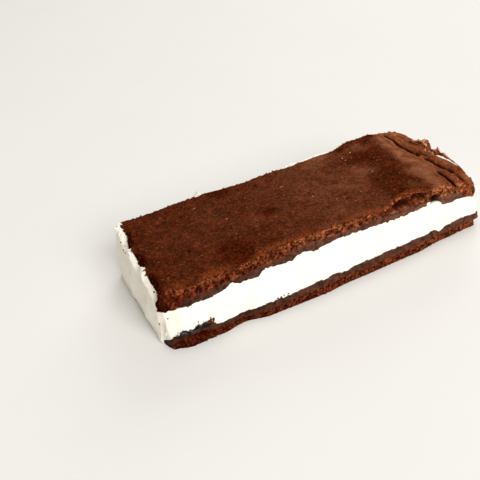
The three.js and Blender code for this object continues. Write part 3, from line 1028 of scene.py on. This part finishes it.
def tone(red, green, blue):
    """A colour in screen values from 0 to 255, as the shader takes it."""
    shares = np.array([red, green, blue]) / 255
    linear = np.where(shares > 0.04045, ((shares + 0.055) / 1.055) ** 2.4, shares / 12.92)
    return (*linear, 1)


class Paint:
    """A material built from nodes around one shader, with sizes in millimetres."""

    def __init__(self, name, **settings):
        self.material = bpy.data.materials.new(name)
        self.material.use_nodes = True
        self.nodes = self.material.node_tree.nodes
        self.link = self.material.node_tree.links.new
        self.shader = self.nodes["Principled BSDF"]
        self.place = self.nodes.new("ShaderNodeTexCoord").outputs["Object"]
        for key, value in settings.items():
            self.shader.inputs[key.replace("_", " ")].default_value = value

    def show(self, name, source):
        """Drives one input of the shader."""
        self.link(source, self.shader.inputs[name])

    def number(self, name):
        """The mesh's own number of this name."""
        node = self.nodes.new("ShaderNodeAttribute")
        node.attribute_name = name
        return node.outputs["Fac"]

    def grain(self, size, detail, roughness=0.6):
        """Noise around 0.5 with features of this size."""
        node = self.nodes.new("ShaderNodeTexNoise")
        node.inputs["Scale"].default_value = 1 / (size * MM)
        node.inputs["Detail"].default_value = detail
        node.inputs["Roughness"].default_value = roughness
        self.link(self.place, node.inputs["Vector"])
        return node.outputs[0]

    def spread(self, value, low, high, start=0, end=1):
        """The value, with the range low to high spread over start to end."""
        node = self.nodes.new("ShaderNodeMapRange")
        for key, setting in (("From Min", low), ("From Max", high), ("To Min", start), ("To Max", end)):
            node.inputs[key].default_value = setting
        self.link(value, node.inputs["Value"])
        return node.outputs["Result"]

    def mix(self, share, first, second):
        """A colour from the first to the second, each a constant or an output."""
        node = self.nodes.new("ShaderNodeMix")
        node.data_type = "RGBA"
        self.link(share, node.inputs[0])
        for source, target in ((first, node.inputs[6]), (second, node.inputs[7])):
            if isinstance(source, tuple):
                target.default_value = source
            else:
                self.link(source, target)
        return node.outputs[2]

    def blotched(self, base, colour, size, detail, low, high, most=1):
        """The base with blotches of a colour, where a grain of this size rises from low to high."""
        return self.mix(self.spread(self.grain(size, detail), low, high, 0, most), base, tone(*colour))

    def rough(self, height, strength, depth):
        """Fine relief, too small for the mesh."""
        node = self.nodes.new("ShaderNodeBump")
        node.inputs["Strength"].default_value = strength
        node.inputs["Distance"].default_value = depth * MM
        self.link(height, node.inputs["Height"])
        self.show("Normal", node.outputs["Normal"])


def grained(paint, skin):
    """The skin with a fine dark and light grain, and patches of tiny dark dots painted as the shade of
    pits.
    """
    fine = paint.grain(1, 4, 0.75)
    colour = paint.mix(paint.spread(fine, 0.36, 0.5, 0.5, 0), skin, tone(36, 10, 2))
    colour = paint.mix(paint.spread(fine, 0.5, 0.66, 0, 0.4), colour, tone(144, 75, 43))
    pit_shade = paint.blotched(colour, (34, 6, 0), 0.65, 2, 0.5, 0.6)
    return paint.mix(paint.spread(paint.grain(4.3, 4, 0.65), 0.42, 0.62, 0.1, 0.9), colour, pit_shade)


def skin_colour(paint, pale):
    """Browned skin from dark to light, the light end partly a painted sheen, blotched and flecked, with
    less grain where it is light.
    """
    mottle = paint.spread(paint.grain(9, 4), 0.4, 0.6)
    dark = paint.mix(mottle, tone(62, 19, 4), tone(87, 33, 13))
    for blotch in DARK_BLOTCHES:
        dark = paint.blotched(dark, *blotch)
    # Light skin: partly paler skin, partly a painted sheen.
    light = paint.mix(mottle, tone(144, 88, 60), tone(160, 106, 78))
    light = paint.blotched(light, (108, 52, 25), 4.7, 4, 0.46, 0.62, 0.7)
    skin = paint.mix(paint.number("warm"), paint.mix(pale, dark, light), tone(137, 68, 34))
    skin = paint.mix(paint.spread(pale, 0.3, 0.9, 0, 0.5), grained(paint, skin), skin)
    return paint.blotched(skin, (190, 126, 92), 1, 1, 0.74, 0.8, 0.5)


def crumb_colour(paint, pale):
    """Torn crumb from dark to light, with darker blotches."""
    grain = paint.spread(paint.grain(0.9, 3, 0.75), 0.38, 0.62)
    dark = paint.mix(grain, tone(92, 34, 17), tone(130, 58, 34))
    light = paint.mix(grain, tone(180, 101, 59), tone(226, 143, 91))
    return paint.blotched(paint.mix(pale, dark, light), (66, 19, 9), 3.3, 3, 0.46, 0.6, 0.65)


def sponge_paint():
    """Browned skin and orange-brown crumb with dark pores, both quite matt."""
    paint = Paint("sponge", Specular_IOR_Level=0)
    pale = paint.number("pale")
    cut = paint.number("cut")
    shown = paint.mix(cut, skin_colour(paint, pale), crumb_colour(paint, pale))
    # Painted shade: depth darkens pores, low crumb, wrinkle grooves and hollows; it also darkens torn left
    # edges, dark skin patches and some grains.
    shown = paint.mix(paint.number("depth"), shown, tone(44, 10, 3))
    # thin: pale torn flakes, rim and crumbs, with painted highlights on the flakes' tops, the rim and the
    # hollow's lip.
    shown = paint.mix(paint.number("thin"), shown, tone(214, 164, 134))
    paint.show("Base Color", shown)
    paint.show("Roughness", paint.spread(cut, 0, 1, 0.62, 0.9))
    paint.rough(paint.grain(0.9, 4, 0.7), 0.8, 0.3)
    return paint.material


def chocolate_paint():
    """Dark chocolate, unevenly pale and partly with a painted sheen, near black where it is smeared, and
    streaked there with a painted grey sheen.
    """
    paint = Paint("dark_chocolate", Specular_IOR_Level=0.06)
    shade = paint.spread(paint.grain(2.2, 5, 0.7), 0.37, 0.63)
    dark = paint.mix(shade, tone(32, 16, 9), tone(80, 47, 34))
    light = paint.mix(shade, tone(72, 42, 30), tone(130, 82, 63))
    # Painted sheen: grey patches on the near-black smear.
    smear_sheen = paint.blotched(tone(24, 14, 12), (84, 78, 78), 1.5, 4, 0.48, 0.66)
    shown = paint.mix(paint.number("smear"), paint.mix(paint.number("pale"), dark, light), smear_sheen)
    # Painted shade: depth darkens the chocolate in the break.
    paint.show("Base Color", paint.mix(paint.number("depth"), shown, tone(12, 4, 2)))
    paint.show("Roughness", paint.spread(paint.grain(2, 3), 0.3, 0.7, 0.4, 0.65))
    paint.rough(paint.grain(0.5, 3), 0.3, 0.1)
    return paint.material


def cream_paint():
    """White cream, soft and slightly see-through."""
    paint = Paint("cream", Specular_IOR_Level=0.3, Subsurface_Weight=0.2, Subsurface_Scale=0.003)
    shade = paint.spread(paint.grain(8, 4), 0.35, 0.65)
    paint.show("Base Color", paint.mix(shade, tone(250, 244, 230), tone(253, 248, 237)))
    paint.show("Roughness", paint.spread(paint.grain(4, 3), 0.3, 0.7, 0.45, 0.65))
    paint.rough(paint.grain(0.8, 4), 0.15, 0.15)
    return paint.material


def floor_paint():
    paint = Paint("floor", Specular_IOR_Level=0.1, Roughness=0.8)
    paint.show("Base Color", paint.mix(paint.grain(60, 3), tone(232, 233, 233), tone(235, 236, 236)))
    return paint.material


# Stage, light and camera

def stage():
    mesh = bpy.data.meshes.new("floor")
    corners = [(x * FLOOR_HALF, y * FLOOR_HALF, 0) for x, y in ((-1, -1), (1, -1), (1, 1), (-1, 1))]
    mesh.from_pydata(corners, [], [(0, 1, 2, 3)])
    mesh.materials.append(floor_paint())
    floor = added("floor", mesh)


def lights():
    world = bpy.data.worlds.new("studio")
    world.use_nodes = True
    world.node_tree.nodes["Background"].inputs["Color"].default_value = WORLD_COLOUR
    bpy.context.scene.world = world
    for name, place, size, power, colour in LIGHTS:
        lamp = bpy.data.lights.new(name, "AREA")
        lamp.size = size
        lamp.energy = power
        lamp.color = colour
        thing = added(name, lamp)
        thing.location = place
        thing.rotation_euler = (-Vector(place)).to_track_quat("-Z", "Y").to_euler()


def camera():
    data = bpy.data.cameras.new("camera")
    data.lens = CAMERA_LENS
    data.clip_start = CAMERA_NEAR
    thing = added("camera", data)
    right = CAMERA_FORWARD.cross(CAMERA_UP)
    turn = Matrix((right, CAMERA_UP, -CAMERA_FORWARD)).transposed()
    place = Vector((CAMERA_PLACE - MIDDLE) * MM)
    thing.matrix_world = Matrix.Translation(place) @ turn.to_4x4()
    bpy.context.scene.camera = thing
    bpy.context.scene.view_settings.view_transform = "Standard"


camera()
stage()
lights()
sponge = sponge_paint()
dark_chocolate = chocolate_paint()
white = cream_paint()
lower = lower_sponge(sponge)
chocolate("lower_chocolate", "chocolate_bottom", LOWER_CHOCOLATE, dark_chocolate)
filling = cream(white)
chocolate("upper_chocolate", "chocolate_top", UPPER_CHOCOLATE, dark_chocolate)
upper = upper_sponge(sponge)
crumbs(sponge, lower, filling, upper)
cream_bits(white, filling)
torn_flakes(sponge)
skin_crumbs(sponge, upper)
